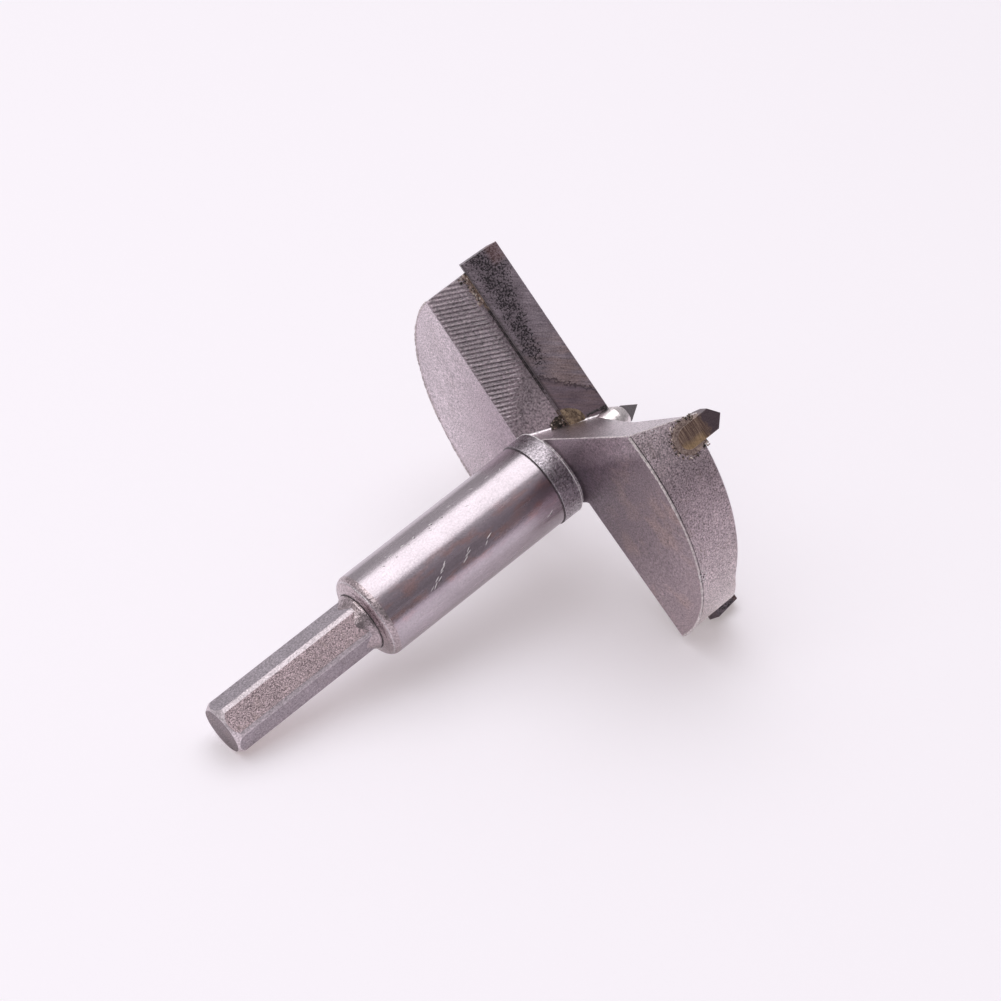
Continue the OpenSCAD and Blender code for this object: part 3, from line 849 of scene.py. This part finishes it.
def rim_burr(i):
    """Pale uneven burr on the edge between a wing's rim and its back, a dark tube beside it that paints
    its shadow, a nick with dark grains for painted shade.
    """
    rng = random.Random(90 + i)
    count = 420
    start = -9.0
    sweep = 86.2
    turn = Matrix.Rotation(math.pi * i, 3, "Z")
    rough = 0.5
    edge = []
    edge_r = []
    line = []
    line_r = []
    for k in range(count):
        t = math.radians(start - sweep * k / (count - 1))
        out = Vector((math.cos(t), math.sin(t), 0))
        z = back_at(RIM_R * out.x, RIM_R * out.y)
        rough = min(1, max(0, rough + rng.uniform(-0.3, 0.3)))
        edge.append(turn @ ((RIM_R - 0.05) * out + Vector((0, 0, z + 0.05))))
        edge_r.append(0.09 + 0.12 * rough)
        line.append(turn @ ((RIM_R - 0.03) * out + Vector((0, 0, z + 0.34))))
        line_r.append(0.03 + 0.08 * rng.random() * min(1, k / count + 0.2))
    tube("rim_burr_%d" % (i + 1), edge, edge_r, 6, "burr")
    # painted shadow: a dark tube beside the burr
    tube("rim_line_%d" % (i + 1), line, line_r, 6, "line")
    m = wing_frame(i) @ Matrix.Scale(MM, 4)
    # a nick of pale grains, with dark grains that paint its shade
    for mat, count, size in (("pale", 24, 0.15), ("line", 10, 0.12)):
        places = []
        for k in range(count):
            t = math.radians(NICK + rng.gauss(0, 1.3))
            z = BACK + abs(rng.gauss(0, 0.6))
            places.append(m @ Vector(((RIM_R - 0.05) * math.cos(t), (RIM_R - 0.05) * math.sin(t), z)))
        grains("rim_nick_%s_%d" % (mat, i + 1), places, mat, 95 + i, size)


def trail_burr(i):
    """Pale uneven burr on the trailing face's edges: along the back, then up the rim."""
    rng = random.Random(110 + i)
    turn = Matrix.Rotation(math.pi * i, 3, "Z")
    count = 200
    start = -4.6
    length = 27.7
    rise = 10.6
    inside = Vector((0.04, 0, 0.04))
    low = []
    up = []
    for k in range(count):
        y = start - length * k / (count - 1)
        low.append(turn @ (trail_point(y, back_at(-4.5, y)) + inside))
        z = BACK + rise * k / (count - 1)
        p = trail_point(-32.4, z)
        up.append(turn @ (Vector((p.x, -math.sqrt(RIM_R ** 2 - p.x ** 2), z)) + Vector((0.04, 0.04, 0))))
    for name, row in (("low", low), ("up", up)):
        rough = 0.5
        radii = []
        for k in range(count):
            rough = min(1, max(0, rough + rng.uniform(-0.3, 0.3)))
            radii.append(0.05 + 0.09 * rough)
        tube("trail_burr_%s_%d" % (name, i + 1), row, radii, 6, "burr")


def ring(name, r, z, thick, mat, seed):
    """A thin uneven ring round the axis."""
    rng = random.Random(seed)
    count = 240
    centres = []
    for k in range(count + 1):
        t = 2 * math.pi * k / count
        centres.append(Vector((r * math.cos(t), r * math.sin(t), z)))
    radii = [thick * rng.uniform(0.75, 1.2) for k in range(count)]
    tube(name, centres, radii + radii[:1], 6, mat)


def body_marks():
    """Scattered nicks along one side of the body, and a few slanting scratches, some with dark marks
    beside them that paint their shade.
    """
    nick_turn = -146
    rng = random.Random(98)
    sets = {"pale": bmesh.new(), "line": bmesh.new()}

    def mark(mat, z, turn, lean, length, width):
        a = math.radians(turn)
        out = Vector((math.cos(a), math.sin(a), 0))
        side = Vector((-math.sin(a), math.cos(a), 0))
        way = (math.cos(lean) * Vector((0, 0, 1)) + math.sin(lean) * side).normalized()
        cross = out.cross(way)
        spin = Matrix((way, cross, out)).transposed().to_4x4()
        size = Matrix.Diagonal((length / 2, width / 2, 0.04, 1))
        place = Matrix.Translation((BODY_R - 0.005) * out + Vector((0, 0, z)))
        m = TOOL_MM @ place @ spin @ size
        bmesh.ops.create_icosphere(sets[mat], subdivisions=2, radius=1, matrix=m)

    for k in range(20):
        z = rng.uniform(33, 60)
        turn = nick_turn + rng.gauss(0, 5.0)
        lean = rng.gauss(0, 0.5)
        mark("pale", z, turn, lean, rng.uniform(0.15, 0.9), rng.uniform(0.07, 0.15))
        # painted shade: dark marks beside some nicks
        if k % 3 == 0:
            mark("line", z + 0.1, turn + 2.0, lean, rng.uniform(0.15, 0.45), rng.uniform(0.06, 0.11))
    # start and end along the axis, start and end round it, and the number of strokes
    scratches = (
        (36.8, 41.2, -77, -93, 7),
        (43.6, 45.6, -82, -91, 3),
        (47.8, 49.4, -80, -86, 2),
        (58.6, 60.6, -56, -60, 2),
    )
    for z0, z1, a0, a1, count in scratches:
        for k in range(count):
            f = (k + rng.uniform(0, 0.6)) / count
            z = z0 + f * (z1 - z0)
            turn = a0 + f * (a1 - a0) + rng.gauss(0, 1.4)
            lean = rng.uniform(-0.65, -0.25)
            mark("pale", z, turn, lean, rng.uniform(0.8, 1.6), rng.uniform(0.07, 0.12))
            # painted shade: dark marks beside some scratches
            if k % 2:
                mark("line", z, turn + 2.2, lean, rng.uniform(0.3, 0.6), rng.uniform(0.07, 0.12))
    for mat, bm in sets.items():
        mesh = mesh_of(bm, "body_marks_" + mat)
        finish_piece(mesh, mesh.name, [mat], 80)


def dress(name, mat):
    """Gives a CAD node its material."""
    mesh = frame["nodes"][name].data
    mesh.materials.clear()
    mesh.materials.append(mat)


steel_skin()
for i in (0, 1):
    dress("cutter_blade_%d" % (i + 1), carbide_blade("blade_%d" % (i + 1), i))
    dress("spur_%d" % (i + 1), carbide_spur("spur_%d" % (i + 1), i))
    dress("blade_braze_%d" % (i + 1), bead_mat("bead_%d" % (i + 1), i))
    dress("spur_braze_%d" % (i + 1), MATS["crust"])
    milled_ridges(i)
    spur_crust(i)
    blade_crust(i)
    braze_patch(i)
    inner_gap_shadow(i)
    vertex_fillet(i)
    rim_burr(i)
    trail_burr(i)
# a pale ring that paints the bright edge highlight at the collar's end
ring("collar_highlight_ring", r=BODY_R + 0.15, z=COLLAR_END - 0.03, thick=0.085, mat="pale", seed=97)
# a dark ring that paints the shade in the crease between the neck and the shoulder
ring("neck_line", r=NECK_R + 0.03, z=SHOULDER - 0.02, thick=0.08, mat="line", seed=99)
body_marks()
dress("pilot_tip", carbide_plate("pilot_plate"))
dress("pilot_braze", MATS["braze"])


def floor():
    bpy.ops.mesh.primitive_plane_add(size=6, location=(0, 0, -0.00005))
    obj = bpy.context.object
    obj.name = "floor"
    m, nt, bsdf = material("floor")
    put(nt, bsdf.inputs["Base Color"], (0.74, 0.725, 0.80))
    put(nt, bsdf.inputs["Emission Color"], (1.0, 0.90, 0.86))
    put(nt, bsdf.inputs["Emission Strength"], 0.30)
    put(nt, bsdf.inputs["Roughness"], 0.75)
    put(nt, bsdf.inputs["Specular IOR Level"], 0.2)
    obj.data.materials.append(m)


def world():
    """Studio room: dim in front, a little brighter behind and overhead."""
    w = bpy.data.worlds.new("studio")
    bpy.context.scene.world = w
    w.use_nodes = True
    nt = w.node_tree
    tc = node(nt, "ShaderNodeTexCoord")
    x, y, z = parts(nt, tc.outputs["Generated"])
    v = span(nt, y, -0.6, 0.6, ROOM_FRONT, ROOM_BACK, True)
    v = calc(nt, "ADD", v, span(nt, z, 0.5, 0.95, 0.0, ROOM_TOP, True))
    bg = nt.nodes["Background"]
    put(nt, bg.inputs["Color"], (1.0, 0.97, 1.0))
    put(nt, bg.inputs["Strength"], v)


def softbox(name, turn, rise, away, radius, radiance):
    """A round soft light, seen from the tool at an azimuth and a height in degrees."""
    data = bpy.data.lights.new(name, "AREA")
    data.shape = "DISK"
    data.size = 2 * radius
    data.energy = radiance * math.pi * math.pi * radius * radius
    data.color = (1, 1, 1)
    a, e = math.radians(turn), math.radians(rise)
    aim = Vector((0, 0, 0.02))
    place = aim + away * Vector((math.cos(a) * math.cos(e), math.sin(a) * math.cos(e), math.sin(e)))
    obj = bpy.data.objects.new(name, data)
    bpy.context.scene.collection.objects.link(obj)
    obj.location = place
    obj.rotation_euler = (aim - place).to_track_quat("-Z", "Y").to_euler()


def camera():
    data = bpy.data.cameras.new("camera")
    obj = bpy.data.objects.new("camera", data)
    bpy.context.scene.collection.objects.link(obj)
    spin = TOOL.to_3x3()
    ahead = (spin @ Vector(CAM_AHEAD)).normalized()
    right = spin @ Vector(CAM_RIGHT)
    right = (right - ahead * right.dot(ahead)).normalized()
    up = right.cross(ahead)
    m = Matrix((right, up, -ahead)).transposed().to_4x4()
    m.translation = TOOL_MM @ Vector(CAM_POS)
    obj.matrix_world = m
    data.lens = CAM_LENS
    data.sensor_width = SENSOR
    data.clip_start = 0.01
    data.clip_end = 20
    bpy.context.scene.camera = obj


floor()
world()
softbox("overhead", turn=74, rise=76, away=0.9, radius=0.5, radiance=1.38)
softbox("fill", turn=180, rise=56, away=0.9, radius=0.33, radiance=1.35)
camera()

view = bpy.context.scene.view_settings
view.view_transform = "Standard"
view.look = "None"
view.exposure = EXPOSURE
